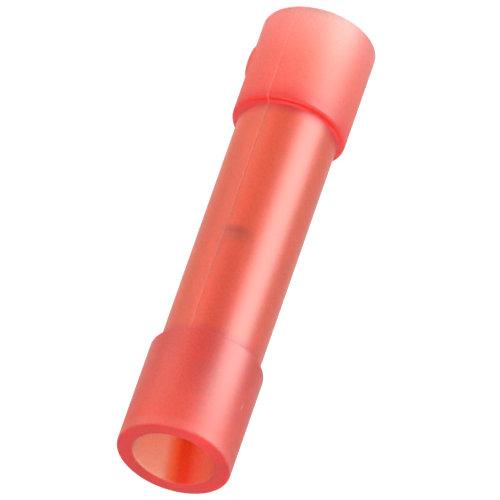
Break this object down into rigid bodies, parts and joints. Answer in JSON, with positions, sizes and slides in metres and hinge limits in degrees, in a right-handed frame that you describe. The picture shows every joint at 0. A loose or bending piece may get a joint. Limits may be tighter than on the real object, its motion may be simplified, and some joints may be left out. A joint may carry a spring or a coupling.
{
  "type": "butt splice connector",
  "caption": "Insulated butt splice connector: a tinned copper crimp barrel with a centre wire stop, pressed into a translucent red nylon sleeve with a wider collar at each end.",
  "frame": {"origin": "centre of the bore at the rim of the lower collar, on which the part stands", "axes": "+Z along the bore, from the lower collar to the upper one; the mould's parting line lies in the XZ plane"},
  "size_m": [0.0058, 0.0059, 0.026],
  "materials": {
    "red_nylon": "satin, translucent, tinted in the mass",
    "tinned_copper": "satin tin plate"
  },
  "bodies": {
    "root": {"insulation_sleeve": "red_nylon", "crimp_barrel": "tinned_copper"}
  },
  "joints": []
}
